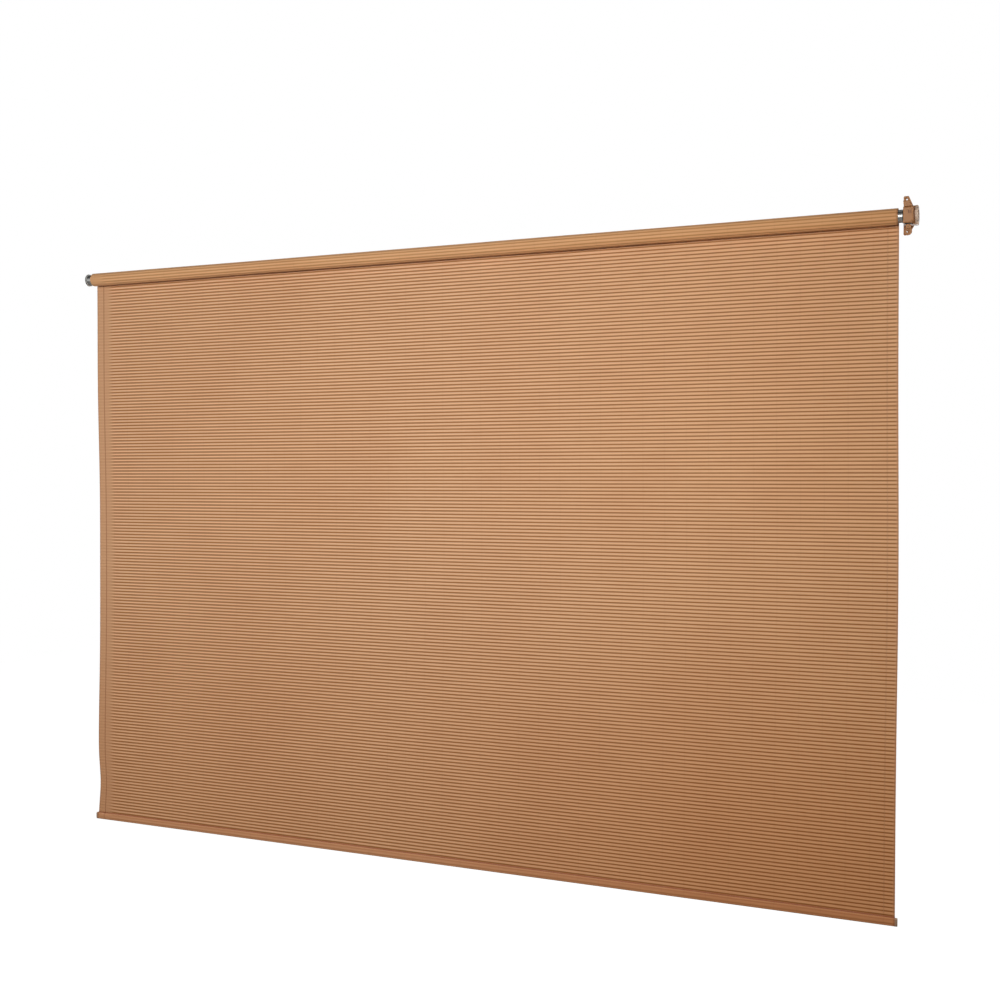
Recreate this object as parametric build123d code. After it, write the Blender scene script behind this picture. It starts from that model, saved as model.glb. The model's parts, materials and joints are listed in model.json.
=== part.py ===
from build123d import *
import math
import os

# Outdoor roller shade: a ribbed sheet on a tube, wound by a crank gear in a wall bracket.
# Millimetres. The origin lies on the bracket's wall face, at the height of the roller.
# +X runs along the roller towards the crank, +Y into the wall and +Z up.

# Clearances and cuts
overrun = 1.0
running_clearance = 0.05
seat_clearance = 0.05
lay_gap = 0.3

# Ribbed sheet
fabric_width = 2438.0
fabric_drop = 1715.0
web_thickness = 0.45
ridge_height = 0.35
ridge_pitch = 9.525
ridge_foot_share = 0.7
ridge_crest_share = 0.5
side_hem_width = 26.0
side_hem_thickness = 1.1
rolled_turns = 2.65
turn_gap = 0.1

# Roller tube
wall_to_axis = 48.0
tube_diameter = 32.0
tube_wall = 1.2
stub_left = 12.5
keyway_width = 4.0
keyway_depth = 4.6
keyway_mouth = 2.6
keyway_wall = 1.0
keyway_angle = 126.0

# Hem
hem_height = 22.0
hem_thickness = 9.0
hem_wall = 1.15
bar_height = 15.5
bar_thickness = 6.2
bar_wall = 1.2
hem_cap_length = 6.0
hem_cap_plug = 14.0
hem_edge = 1.0

# Bracket foot and arm
bracket_reach = 20.0
foot_width = 24.0
foot_thickness = 5.0
foot_tip_width = 12.0
foot_top = 57.5
foot_bottom = 37.0
foot_shoulder_top = 29.0
foot_shoulder_bottom = 16.0
foot_corner = 3.0
screw_hole_radius = 2.1
screw_sink_radius = 4.2
screw_from_tip = 8.0
screw_x = -4.5
arm_width = 18.0
arm_web = 5.0
arm_flange = 4.0
arm_foot_top = 26.0
arm_foot_bottom = 15.0
arm_case_half = 18.0
gusset_width = 6.0
gusset_root_top = 46.0
gusset_tip_top = 27.0
gusset_tip_reach = 58.0

# Gear case
case_left = -7.0
case_right = 19.5
case_flats = 44.0
case_edge = 1.5
worm_case_left = 11.0
worm_case_right = 12.0
worm_case_top = 16.0
worm_case_bottom = 22.0
worm_case_front = 12.5
worm_case_corner = 3.0
worm_case_slant = 6.0
neck_radius = 8.6
neck_bottom = 22.0
pocket_width = 7.0
pocket_height = 7.5
pocket_depth = 2.0
pocket_centre_x = 8.5
pocket_centre_z = 3.5

# Worm and wheel
gear_module = 2.0
wheel_teeth = 14
worm_starts = 2
pressure_angle = 20.0
wheel_addendum_share = 0.8
worm_addendum_share = 0.9
gear_dedendum_share = 1.15
worm_pitch_radius = 6.5
worm_half_length = 11.0
worm_x = 4.5
flank_play = 0.25
wheel_width = 5.0
wheel_hub_radius = 10.2
wheel_side_gap = 1.5
wheel_hub_end = 15.2
thread_sink = 0.4

# Gear cover
cover_flats = 45.0
cover_thickness = 7.0
cover_edge = 1.6
spigot_length = 3.0
spigot_gap = 0.2
cover_rib_depth = 1.2
cover_rib_inset = 9.0
cover_screw_circle = 19.3
cover_screw_radius = 1.4
cover_screw_head_radius = 2.7
cover_screw_head_height = 2.0
cover_screw_length = 12.0
cover_screw_drive = 1.1
cover_screws_count = 4

# Drive plug and its bearings
drive_flange_thickness = 2.0
drive_flange_gap = 0.5
drive_plug_length = 46.0
plug_rib_height = 0.25
plug_rib_width = 2.0
plug_ribs = 5
plug_slack = 0.3
journal_radius = 8.0
bush_wall = 2.0
square_across = 11.0
tail_radius = 5.0
tail_length = 6.0

# Crank shaft and eye
shaft_radius = 4.0
shaft_top = 17.0
shaft_bottom = 33.0
cap_plug_depth = 4.4
cap_plug_top = 22.5
hood_top = 31.0
hood_tip_right = 4.0
hood_lean = 1.5
hood_front = 11.5
hood_back = 5.0
hood_edge = 1.5
washer_thickness = 1.0
washer_radius = 6.2
bush_body_radius = 6.5
bush_flange_radius = 8.4
bush_flange_thickness = 2.0
eye_stem_radius = 6.0
eye_stem_gap = 0.4
eye_stem_bottom = 35.0
eye_drop = 49.8
eye_ring_radius = 6.2
eye_wire_radius = 2.6
eye_pin_radius = 1.25
eye_pin_height = 29.5
eye_pin_proud = 0.2

# Idle end
idle_flange_radius = 19.0
idle_flange_thickness = 3.0
idle_plug_length = 36.0
idle_front_wall = 5.0
chamber_radius = 7.0
pin_radius = 4.0
pin_guide_radius = 4.5
pin_guide_proud = 0.5
pin_proud = 11.0
pin_nose = 1.0
pin_collar_radius = 6.4
pin_collar_length = 3.0
pin_tail_radius = 2.0
spring_wire_radius = 0.6
spring_mean_radius = 4.6
spring_pitch = 3.8
spring_end_gap = 0.3
seat_thickness = 3.0

# Places worked out from the sizes above
axis_y = -wall_to_axis
tube_radius = tube_diameter / 2
tube_bore = tube_radius - tube_wall
fabric_right = -bracket_reach
fabric_left = fabric_right - fabric_width
tube_right = case_left - drive_flange_gap - drive_flange_thickness
tube_left = fabric_left - stub_left
fabric_thickness = web_thickness + 2 * ridge_height
turn_pitch = fabric_thickness + turn_gap
last_turn_radius = tube_radius + turn_gap + rolled_turns * turn_pitch
roll_radius = last_turn_radius + fabric_thickness
sheet_y = axis_y + last_turn_radius + fabric_thickness / 2
hem_bottom = -fabric_drop
hem_top = hem_bottom + hem_height
wheel_pitch_radius = gear_module * wheel_teeth / 2
wheel_tip_radius = wheel_pitch_radius + wheel_addendum_share * gear_module
wheel_root_radius = wheel_pitch_radius - gear_dedendum_share * gear_module
worm_tip_radius = worm_pitch_radius + worm_addendum_share * gear_module
worm_root_radius = worm_pitch_radius - gear_dedendum_share * gear_module
worm_y = axis_y - wheel_pitch_radius - worm_pitch_radius
axial_pitch = math.pi * gear_module
thread_lead = worm_starts * axial_pitch
wheel_cavity_radius = wheel_tip_radius + wheel_side_gap / 2
worm_bore_radius = worm_tip_radius + wheel_side_gap / 2
cavity_left = worm_x - wheel_width / 2 - wheel_side_gap


def rod_x(radius, start, end, y=axis_y, z=0):
    """Round bar along X between two places."""
    return Pos(start, y, z) * extrude(Plane.YZ * Circle(radius), amount=end - start)


def rod_z(radius, low, high, x=worm_x, y=worm_y):
    """Round bar along Z between two heights."""
    return Pos(x, y, low) * extrude(Circle(radius), amount=high - low)


def block(x0, x1, y0, y1, z0, z1):
    """Box between two corners."""
    centre = Pos((x0 + x1) / 2, (y0 + y1) / 2, (z0 + z1) / 2)
    return centre * Box(x1 - x0, y1 - y0, z1 - z0)


def side_plate(points, start, end):
    """Outline in Y and Z, made as thick as the stretch of X between two places."""
    outline = make_face(Polyline(*points, close=True))
    return extrude(Plane.YZ.offset(start) * outline, amount=end - start)


def octagon_x(flats, start, end):
    """Eight-sided bar along X with flats up, down, front and back."""
    outline = Rot(0, 0, 180 / 8) * RegularPolygon(flats / 2, 8, major_radius=False)
    return Pos(0, axis_y, 0) * extrude(Plane.YZ.offset(start) * outline, amount=end - start)


def around_axis(shape, turn):
    """Shape turned about the roller's axis."""
    return shape.rotate(Axis((0, axis_y, 0), (1, 0, 0)), turn)


# Ribbed sheet: ridges on both faces of a web, with its side edges folded to the back and sewn
def make_shade_fabric():
    top = -lay_gap
    bottom = hem_top + lay_gap
    ridges = int((top - bottom) // ridge_pitch)
    margin = (top - bottom - ridges * ridge_pitch) / 2
    foot = ridge_foot_share * ridge_pitch / 2
    crest = ridge_crest_share * ridge_pitch / 2
    half_web = web_thickness / 2
    proud = half_web + ridge_height
    steps = []
    for ridge in range(ridges):
        middle = top - margin - (ridge + 1 / 2) * ridge_pitch
        steps += [(half_web, middle + foot), (proud, middle + crest)]
        steps += [(proud, middle - crest), (half_web, middle - foot)]
    face = [(half_web, top)] + steps + [(half_web, bottom)]
    room_side = [(sheet_y - depth, height) for depth, height in face]
    wall_side = [(sheet_y + depth, height) for depth, height in reversed(face)]
    sheet = side_plate(room_side + wall_side, fabric_left, fabric_right)
    back = sheet_y + proud + side_hem_thickness
    for start in (fabric_left, fabric_right - side_hem_width):
        sheet += block(start, start + side_hem_width, sheet_y, back, bottom, top)
    return sheet


# Rolled part of the sheet: one spiral strip, ridged outside, that ends where the sheet hangs down
def make_fabric_roll():
    ridge_angle = ridge_pitch / roll_radius
    foot_from = (1 - ridge_foot_share) / 2
    crest_from = (1 - ridge_crest_share) / 2
    profile = [(0, 0), (foot_from, 0), (crest_from, 1)]
    profile += [(1 / 2, 1), (1 - crest_from, 1), (1 - foot_from, 0)]
    ridges = int(2 * math.pi * rolled_turns / ridge_angle)
    outside = []
    inside = []
    for ridge in range(ridges):
        for share, lift in profile:
            angle = (ridge + share) * ridge_angle
            inner = last_turn_radius - turn_pitch * angle / (2 * math.pi)
            outer = inner + web_thickness + ridge_height * (1 + lift)
            outside.append((axis_y + outer * math.cos(angle), outer * math.sin(angle)))
            inside.append((axis_y + inner * math.cos(angle), inner * math.sin(angle)))
    return side_plate(outside + inside[::-1], fabric_left, fabric_right)


# Tube: drawn aluminium with an inner channel that grips the sheet's edge
def make_roller_tube():
    skin = rod_x(tube_radius, tube_left, tube_right) - rod_x(tube_bore, tube_left, tube_right)
    half = keyway_width / 2
    inner = tube_radius - tube_wall - keyway_depth
    seat = axis_y + inner
    channel = block(tube_left, tube_right, seat - keyway_wall, axis_y + tube_radius - tube_wall / 2,
                    -half - keyway_wall, half + keyway_wall)
    groove = block(tube_left - overrun, tube_right + overrun, seat, axis_y + tube_bore, -half, half)
    mouth = block(tube_left - overrun, tube_right + overrun, seat, axis_y + tube_radius + overrun,
                  -keyway_mouth / 2, keyway_mouth / 2)
    return around_axis(skin + channel - groove - mouth, keyway_angle)


# Spline: plastic rod that holds the sheet's first edge in the channel
def make_fixing_spline():
    radius = keyway_width / 2 - seat_clearance
    place = axis_y + tube_bore - keyway_depth + keyway_width / 2
    return around_axis(rod_x(radius, fabric_left, fabric_right, place), keyway_angle)


def plug_body(start, end):
    """Plug inside the tube: crush ribs round it and a slot that rides over the channel."""
    body = rod_x(tube_bore - plug_slack, start, end)
    reach = tube_bore - plug_slack + plug_rib_height
    half = plug_rib_width / 2
    for rib in range(plug_ribs):
        bar = block(start, end, axis_y + tube_bore / 2, axis_y + reach, -half, half)
        body += around_axis(bar, keyway_angle + (rib + 1) * 360 / (plug_ribs + 1))
    slot_half = keyway_width / 2 + keyway_wall + plug_slack
    floor = axis_y + tube_bore - keyway_depth - keyway_wall - plug_slack
    slot = block(start - overrun, end + overrun, floor, axis_y + tube_radius, -slot_half, slot_half)
    return body - around_axis(slot, keyway_angle)


# Drive plug: turns the tube from the gear wheel, with a journal, a square and a tail pivot
def make_drive_plug():
    flange_end = tube_right + drive_flange_thickness
    tail_start = case_right - spigot_length
    plug = plug_body(tube_right - drive_plug_length, tube_right)
    plug += rod_x(tube_radius, tube_right, flange_end)
    plug += rod_x(journal_radius, flange_end, cavity_left)
    half = square_across / 2
    plug += block(cavity_left, tail_start, axis_y - half, axis_y + half, -half, half)
    return plug + rod_x(tail_radius, tail_start, tail_start + tail_length)


def wheel_section(place):
    """Tooth outline of the wheel at a place along its width, turned to follow the thread."""
    base_radius = wheel_pitch_radius * math.cos(math.radians(pressure_angle))
    roll_off = math.tan(math.radians(pressure_angle)) - math.radians(pressure_angle)
    half_angle = math.pi / (2 * wheel_teeth) - flank_play / wheel_pitch_radius + roll_off
    flank = []
    for radius in (wheel_root_radius, base_radius, wheel_pitch_radius, wheel_tip_radius):
        tilt = math.acos(min(1, base_radius / radius))
        flank.append((radius, half_angle - math.tan(tilt) + tilt))
    helix_turn = (place - worm_x) * thread_lead / (2 * math.pi * worm_pitch_radius * wheel_pitch_radius)
    points = []
    for tooth in range(wheel_teeth):
        centre = math.pi + helix_turn + tooth * 2 * math.pi / wheel_teeth
        sides = [(radius, centre - angle) for radius, angle in flank]
        sides += [(radius, centre + angle) for radius, angle in reversed(flank)]
        points += [(axis_y + radius * math.cos(turn), radius * math.sin(turn)) for radius, turn in sides]
    return Plane.YZ.offset(place) * make_face(Polyline(*points, close=True))


# Worm wheel: helical teeth on a hub that slides over the drive plug's square
def make_worm_wheel():
    left = worm_x - wheel_width / 2
    right = worm_x + wheel_width / 2
    teeth = loft([wheel_section(left), wheel_section(right)], ruled=True)
    wheel = teeth + rod_x(wheel_hub_radius, left, wheel_hub_end)
    half = square_across / 2 + seat_clearance
    return wheel - block(left - overrun, wheel_hub_end + overrun, axis_y - half, axis_y + half, -half, half)


# Worm: two-start thread on the crank shaft, with journals above and below
def make_worm_shaft():
    slope = math.tan(math.radians(pressure_angle))
    pitch_half = axial_pitch / 4 - flank_play
    root_half = pitch_half + (worm_pitch_radius - worm_root_radius) * slope
    tip_half = pitch_half - (worm_tip_radius - worm_pitch_radius) * slope
    foot = worm_root_radius - thread_sink
    start = -worm_starts * axial_pitch
    tooth = [(foot, start - root_half), (worm_root_radius, start - root_half),
             (worm_tip_radius, start - tip_half), (worm_tip_radius, start + tip_half),
             (worm_root_radius, start + root_half), (foot, start + root_half)]
    path = Helix(thread_lead, -2 * start, foot, (0, 0, start))
    section = Plane.XZ * make_face(Polyline(*tooth, close=True))
    thread = sweep(section, path=path, is_frenet=True)
    trim = extrude(Circle(worm_tip_radius + overrun), amount=worm_half_length, both=True)
    worm = extrude(Circle(worm_root_radius), amount=worm_half_length, both=True)
    for turn in range(worm_starts):
        worm += (Rot(0, 0, turn * 360 / worm_starts) * thread) & trim
    shaft = Pos(worm_x, worm_y, 0) * worm + rod_z(shaft_radius, -shaft_bottom, shaft_top)
    return shaft - eye_pin_hole()


def eye_pin_hole():
    """Cross hole for the pin through the stem and the shaft."""
    reach = eye_stem_radius + overrun
    hole = extrude(Plane.XZ * Circle(eye_pin_radius + seat_clearance), amount=reach, both=True)
    return Pos(worm_x, worm_y, -eye_pin_height) * hole


# Bracket: moulded foot, arm and gear case in one piece
def make_gear_bracket():
    left = -foot_width / 2
    right = foot_width / 2
    tip = left + foot_tip_width
    outline = Polyline((left, -foot_bottom), (tip, -foot_bottom), (right, -foot_shoulder_bottom),
                       (right, foot_shoulder_top), (tip, foot_top), (left, foot_top), close=True)
    foot = extrude(Plane.XZ * make_face(outline), amount=foot_thickness)
    foot = fillet(foot.edges().filter_by(Axis.Y), foot_corner)
    foot = chamfer(foot.faces().sort_by(Axis.Y)[0].edges(), case_edge)
    case_back = axis_y + case_flats / 2
    arm_line = [(-foot_thickness / 2, arm_foot_top), (case_back - overrun, arm_case_half),
                (case_back - overrun, -arm_case_half), (-foot_thickness / 2, -arm_foot_bottom)]
    arm = side_plate(arm_line, -arm_width / 2, arm_width / 2)
    hollow_line = [(-foot_thickness, arm_foot_top - arm_flange), (case_back, arm_case_half - arm_flange),
                   (case_back, arm_flange - arm_case_half), (-foot_thickness, arm_flange - arm_foot_bottom)]
    arm -= side_plate(hollow_line, arm_web / 2, arm_width / 2 + overrun)
    arm -= side_plate(hollow_line, -arm_width / 2 - overrun, -arm_web / 2)
    gusset_line = [(-foot_thickness / 2, gusset_root_top), (-gusset_tip_reach, gusset_tip_top),
                   (-gusset_tip_reach, 0), (-foot_thickness / 2, 0)]
    gusset = side_plate(gusset_line, case_left, case_left + gusset_width)
    case = octagon_x(case_flats, case_left, case_right)
    bracket = foot + arm + gusset + case + make_worm_case()
    for tool in bracket_cuts():
        bracket -= tool
    return bracket


def make_worm_case():
    """Front of the gear case round the worm, with a slanted lower corner and a round neck."""
    left = worm_x - worm_case_left
    right = worm_x + worm_case_right
    outline = Polyline((left, -worm_case_bottom), (right - worm_case_slant, -worm_case_bottom),
                       (right, worm_case_slant - worm_case_bottom), (right, worm_case_top),
                       (left, worm_case_top), close=True)
    front = worm_y - worm_case_front
    shell = Pos(0, axis_y, 0) * extrude(Plane.XZ * make_face(outline), amount=axis_y - front)
    shell = fillet(shell.faces().sort_by(Axis.Y)[0].edges(), worm_case_corner)
    pocket = block(pocket_centre_x - pocket_width / 2, pocket_centre_x + pocket_width / 2,
                   front - overrun, front + pocket_depth,
                   pocket_centre_z - pocket_height / 2, pocket_centre_z + pocket_height / 2)
    return shell - pocket + rod_z(neck_radius, -neck_bottom, 0)


def bracket_cuts():
    """Everything cut out of the bracket: gear spaces, bearing seats and screw holes."""
    cuts = [rod_x(wheel_cavity_radius, cavity_left, case_right + overrun)]
    cuts.append(rod_x(journal_radius + bush_wall + seat_clearance, case_left - overrun, case_right))
    cuts.append(rod_z(worm_bore_radius, -worm_half_length - washer_thickness, cap_plug_top + overrun))
    cuts.append(rod_z(bush_body_radius + seat_clearance, -neck_bottom - overrun, 0))
    for height in (foot_top - screw_from_tip, screw_from_tip - foot_bottom):
        hole = extrude(Plane.XZ * Circle(screw_hole_radius), amount=foot_thickness + overrun)
        sink = Pos(0, -foot_thickness, 0) * Rot(90, 0, 0) * Cone(
            screw_hole_radius, screw_sink_radius, screw_sink_radius - screw_hole_radius,
            align=(Align.CENTER, Align.CENTER, Align.MAX))
        cuts.append(Pos(screw_x, overrun / 2, height) * hole)
        cuts.append(Pos(screw_x, 0, height) * sink)
    for place in cover_screw_places():
        cuts.append(rod_x(cover_screw_radius + seat_clearance, case_right - cover_screw_length,
                          case_right + overrun, *place))
    return cuts


def cover_screw_places():
    """Y and Z of each cover screw, on the slanted flats of the case."""
    places = []
    for screw in range(cover_screws_count):
        turn = math.radians((screw + 1 / 2) * 360 / cover_screws_count)
        places.append((axis_y + cover_screw_circle * math.cos(turn), cover_screw_circle * math.sin(turn)))
    return places


# Cover: closes the gear case and carries the drive plug's tail
def make_gear_cover():
    outer = case_right + cover_thickness
    plate = octagon_x(cover_flats, case_right, outer)
    plate = chamfer(plate.faces().sort_by(Axis.X)[-1].edges(), cover_edge)
    plate -= octagon_x(cover_flats - 2 * cover_rib_inset, outer - cover_rib_depth, outer + overrun)
    cover = plate + rod_x(wheel_cavity_radius - spigot_gap, case_right - spigot_length, case_right)
    bore_start = case_right - spigot_length - overrun
    bore_end = case_right - spigot_length + tail_length + running_clearance * 2
    cover -= rod_x(tail_radius + running_clearance, bore_start, bore_end)
    for place in cover_screw_places():
        cover -= rod_x(cover_screw_radius + seat_clearance, case_right - overrun - spigot_length,
                       outer + overrun, *place)
        cover -= rod_x(cover_screw_head_radius + seat_clearance, outer - cover_screw_head_height,
                       outer + overrun, *place)
    return cover


# Cover screws: four pan heads sunk in the cover
def make_cover_screws():
    outer = case_right + cover_thickness
    seat = outer - cover_screw_head_height
    screws = []
    for place in cover_screw_places():
        screw = rod_x(cover_screw_radius, seat - cover_screw_length, seat, *place)
        screw += rod_x(cover_screw_head_radius, seat, outer - running_clearance, *place)
        slot = block(outer - cover_screw_drive, outer, place[0] - cover_screw_head_radius,
                     place[0] + cover_screw_head_radius, place[1] - cover_screw_drive / 2,
                     place[1] + cover_screw_drive / 2)
        screws.append(screw - slot)
    return Compound(children=screws)


# Bearing bush for the drive plug's journal, in the inner wall of the case
def make_roller_bush():
    ring = rod_x(journal_radius + bush_wall, case_left, cavity_left)
    return ring - rod_x(journal_radius + running_clearance, case_left - overrun, cavity_left + overrun)


# Cap: closes the worm's bore from above and steadies the shaft, under a leaning hood
def make_worm_cap():
    left = worm_x - worm_case_left
    right = worm_x + worm_case_right - worm_case_corner
    outline = Polyline((left + hood_lean, worm_case_top), (right, worm_case_top),
                       (worm_x + hood_tip_right, hood_top), (left, hood_top), close=True)
    hood = extrude(Plane.XZ * make_face(outline), amount=hood_front + hood_back)
    hood = Pos(0, worm_y + hood_back, 0) * hood
    hood = chamfer(hood.faces().sort_by(Axis.Y)[0].edges(), hood_edge)
    plug_low = worm_case_top - cap_plug_depth
    cap = hood + rod_z(worm_bore_radius - seat_clearance, plug_low, cap_plug_top)
    return cap - rod_z(shaft_radius + running_clearance, plug_low - overrun, shaft_top + lay_gap)


# Thrust washer between the worm and its lower bush
def make_thrust_washer():
    low = -worm_half_length - washer_thickness + running_clearance
    high = -worm_half_length - running_clearance
    bore = rod_z(shaft_radius + running_clearance, low - overrun, high + overrun)
    return rod_z(washer_radius, low, high) - bore


# Lower bush: flanged sleeve in the neck of the case
def make_worm_bush():
    top = -worm_half_length - washer_thickness
    low = -neck_bottom - bush_flange_thickness
    body = rod_z(bush_body_radius, -neck_bottom, top)
    body += rod_z(bush_flange_radius, low, -neck_bottom)
    return body - rod_z(shaft_radius + running_clearance, low - overrun, top + overrun)


# Crank eye: stem on the shaft with a loop for the hook of a crank handle
def make_crank_eye():
    stem_top = -neck_bottom - bush_flange_thickness - eye_stem_gap
    stem = rod_z(eye_stem_radius, -eye_stem_bottom, stem_top)
    stem = chamfer(stem.faces().sort_by(Axis.Z)[0].edges(), eye_stem_radius / 4)
    centre = eye_ring_radius + eye_wire_radius - eye_drop
    ring = Pos(worm_x, worm_y, centre) * Rot(90, 0, 0) * Torus(eye_ring_radius, eye_wire_radius)
    eye = stem + ring
    eye -= rod_z(shaft_radius + seat_clearance, -shaft_bottom - seat_clearance, stem_top + overrun)
    return eye - eye_pin_hole()


# Cross pin that keeps the eye on the shaft
def make_eye_pin():
    pin = extrude(Plane.XZ * Circle(eye_pin_radius), amount=eye_stem_radius + eye_pin_proud, both=True)
    return Pos(worm_x, worm_y, -eye_pin_height) * pin


# Idle plug: closes the far end of the tube and guides the sprung pin
def make_end_plug():
    end = tube_left + idle_plug_length
    plug = plug_body(tube_left, end)
    plug += rod_x(idle_flange_radius, tube_left - idle_flange_thickness, tube_left)
    rim = plug.faces().sort_by(Axis.X)[0].edges()
    plug = chamfer(rim, idle_flange_thickness / 4)
    plug -= rod_x(pin_guide_radius + running_clearance, tube_left - idle_flange_thickness - overrun, end)
    return plug - rod_x(chamber_radius, chamber_left(), end + overrun)


def chamber_left():
    """Inner end of the plug's front wall."""
    return tube_left - idle_flange_thickness + idle_front_wall


# Idle pin: sprung pivot that drops into a bracket, with a collar and a guide tail
def make_idle_pin():
    face = tube_left - idle_flange_thickness
    shoulder = face - pin_guide_proud
    collar = chamber_left() + running_clearance
    collar_end = collar + pin_collar_length
    tail_end = tube_left + idle_plug_length - seat_thickness / 2
    pin = rod_x(pin_radius, face - pin_proud, shoulder)
    pin = chamfer(pin.faces().sort_by(Axis.X)[0].edges(), pin_nose)
    pin += rod_x(pin_guide_radius, shoulder, collar)
    pin += rod_x(pin_collar_radius, collar, collar_end)
    return pin + rod_x(pin_tail_radius, collar_end, tail_end)


# Coil spring behind the pin's collar
def make_idle_spring():
    start = chamber_left() + running_clearance + pin_collar_length + spring_end_gap + spring_wire_radius
    end = tube_left + idle_plug_length - seat_thickness - spring_end_gap - spring_wire_radius
    path = Helix(spring_pitch, end - start, spring_mean_radius, (start, axis_y, 0), (1, 0, 0))
    section = Plane(origin=path @ 0, z_dir=path % 0) * Circle(spring_wire_radius)
    return sweep(section, path=path, is_frenet=True)


# Seat: disc that closes the plug's chamber behind the spring
def make_spring_seat():
    end = tube_left + idle_plug_length
    face = end - seat_thickness
    disc = rod_x(chamber_radius - seat_clearance, face, end)
    return disc - rod_x(pin_tail_radius + 2 * running_clearance, face - overrun, end + overrun)


def bar_outline(grow):
    """Flat bar with round edges, larger than the hem bar by an allowance all round."""
    height = bar_height + 2 * grow
    slot = Rot(0, 0, 90) * SlotOverall(height, bar_thickness + 2 * grow)
    return Pos(sheet_y, bar_centre()) * slot


def bar_centre():
    """Height of the middle of the hem bar."""
    return hem_bottom + hem_wall + seat_clearance + bar_height / 2


# Pocket: the sheet's lower edge, sewn round the bar
def make_hem_pocket():
    lower = hem_thickness / 2
    seam = fabric_thickness / 2
    shoulder = bar_centre() + bar_height / 2 - bar_thickness / 2
    rings = Sketch() + [Pos(sheet_y, hem_bottom + lower) * Circle(lower),
                        Pos(sheet_y, shoulder) * Circle(lower),
                        Pos(sheet_y, hem_top - seam) * Circle(seam)]
    outline = make_hull(rings.edges())
    section = outline - bar_outline(seat_clearance)
    return extrude(Plane.YZ.offset(fabric_left) * section, amount=fabric_width)


# Bar: flat aluminium tube that weighs the hem down
def make_hem_bar():
    section = bar_outline(0) - bar_outline(-bar_wall)
    return extrude(Plane.YZ.offset(fabric_left) * section, amount=fabric_width)


def make_hem_cap(face, direction):
    """End cap: a flange outside the pocket and a plug inside the bar."""
    height = hem_height - hem_wall
    flange = Pos(sheet_y, hem_bottom + height / 2) * Rot(0, 0, 90) * SlotOverall(height, hem_thickness)
    cap = extrude(Plane.YZ.offset(face) * flange, amount=direction * hem_cap_length)
    outer = cap.faces().sort_by(Axis.X)[-1 if direction > 0 else 0]
    cap = chamfer(outer.edges(), hem_edge)
    plug = bar_outline(-bar_wall - seat_clearance)
    return cap + extrude(Plane.YZ.offset(face) * plug, amount=-direction * hem_cap_plug)


solids = {
    "gear_bracket": make_gear_bracket(),
    "gear_cover": make_gear_cover(),
    "cover_screws": make_cover_screws(),
    "roller_bush": make_roller_bush(),
    "worm_cap": make_worm_cap(),
    "worm_bush": make_worm_bush(),
    "shade_fabric": make_shade_fabric(),
    "roller_tube": make_roller_tube(),
    "fixing_spline": make_fixing_spline(),
    "fabric_roll": make_fabric_roll(),
    "drive_plug": make_drive_plug(),
    "worm_wheel": make_worm_wheel(),
    "end_plug": make_end_plug(),
    "spring_seat": make_spring_seat(),
    "idle_spring": make_idle_spring(),
    "worm_shaft": make_worm_shaft(),
    "thrust_washer": make_thrust_washer(),
    "crank_eye": make_crank_eye(),
    "eye_pin": make_eye_pin(),
    "idle_pin": make_idle_pin(),
    "hem_pocket": make_hem_pocket(),
    "hem_bar": make_hem_bar(),
    "hem_cap_left": make_hem_cap(fabric_left, -1),
    "hem_cap_right": make_hem_cap(fabric_right, 1),
}

os.makedirs("parts", exist_ok=True)
for name, solid in solids.items():
    export_step(solid, f"parts/{name}.step")
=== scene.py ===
import json
import math

import bpy
import numpy as np
from mathutils import Matrix, Vector


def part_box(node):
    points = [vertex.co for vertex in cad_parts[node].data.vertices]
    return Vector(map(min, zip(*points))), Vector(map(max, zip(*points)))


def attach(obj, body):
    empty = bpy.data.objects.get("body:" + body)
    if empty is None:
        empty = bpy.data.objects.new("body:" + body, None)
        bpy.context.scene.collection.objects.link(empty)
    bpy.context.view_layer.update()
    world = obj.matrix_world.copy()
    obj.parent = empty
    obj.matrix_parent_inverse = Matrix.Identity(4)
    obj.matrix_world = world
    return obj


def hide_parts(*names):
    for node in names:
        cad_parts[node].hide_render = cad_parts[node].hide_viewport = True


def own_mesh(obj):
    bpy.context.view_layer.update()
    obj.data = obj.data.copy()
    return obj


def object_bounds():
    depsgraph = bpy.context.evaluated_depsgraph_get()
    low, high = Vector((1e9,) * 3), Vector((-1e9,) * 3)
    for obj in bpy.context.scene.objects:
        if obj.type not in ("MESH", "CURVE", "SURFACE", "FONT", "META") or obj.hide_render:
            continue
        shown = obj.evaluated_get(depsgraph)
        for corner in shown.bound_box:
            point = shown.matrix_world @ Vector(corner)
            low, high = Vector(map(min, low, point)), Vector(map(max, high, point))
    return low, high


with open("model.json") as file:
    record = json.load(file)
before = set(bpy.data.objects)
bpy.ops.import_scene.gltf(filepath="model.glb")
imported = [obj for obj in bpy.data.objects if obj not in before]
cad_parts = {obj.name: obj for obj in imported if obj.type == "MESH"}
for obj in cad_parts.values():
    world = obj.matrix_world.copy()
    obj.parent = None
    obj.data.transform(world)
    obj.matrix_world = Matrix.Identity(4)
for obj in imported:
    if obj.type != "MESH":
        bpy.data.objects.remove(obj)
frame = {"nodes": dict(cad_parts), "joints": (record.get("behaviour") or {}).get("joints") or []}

cad_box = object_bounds()
mm = 0.001


# Gear bracket, gear cover, worm cap, crank eye and hem caps: tan ABS, injection moulded to go with the
# cloth. The bracket is screwed to the wall and the cover to the bracket; the caps are pressed in.
def linear(hex_colour):
    """An sRGB hex colour as the linear RGBA that a shader socket takes."""
    shares = [int(hex_colour[i:i + 2], 16) / 255 for i in (0, 2, 4)]
    return [s / 12.92 if s <= 0.04045 else ((s + 0.055) / 1.055) ** 2.4 for s in shares] + [1.0]


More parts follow.
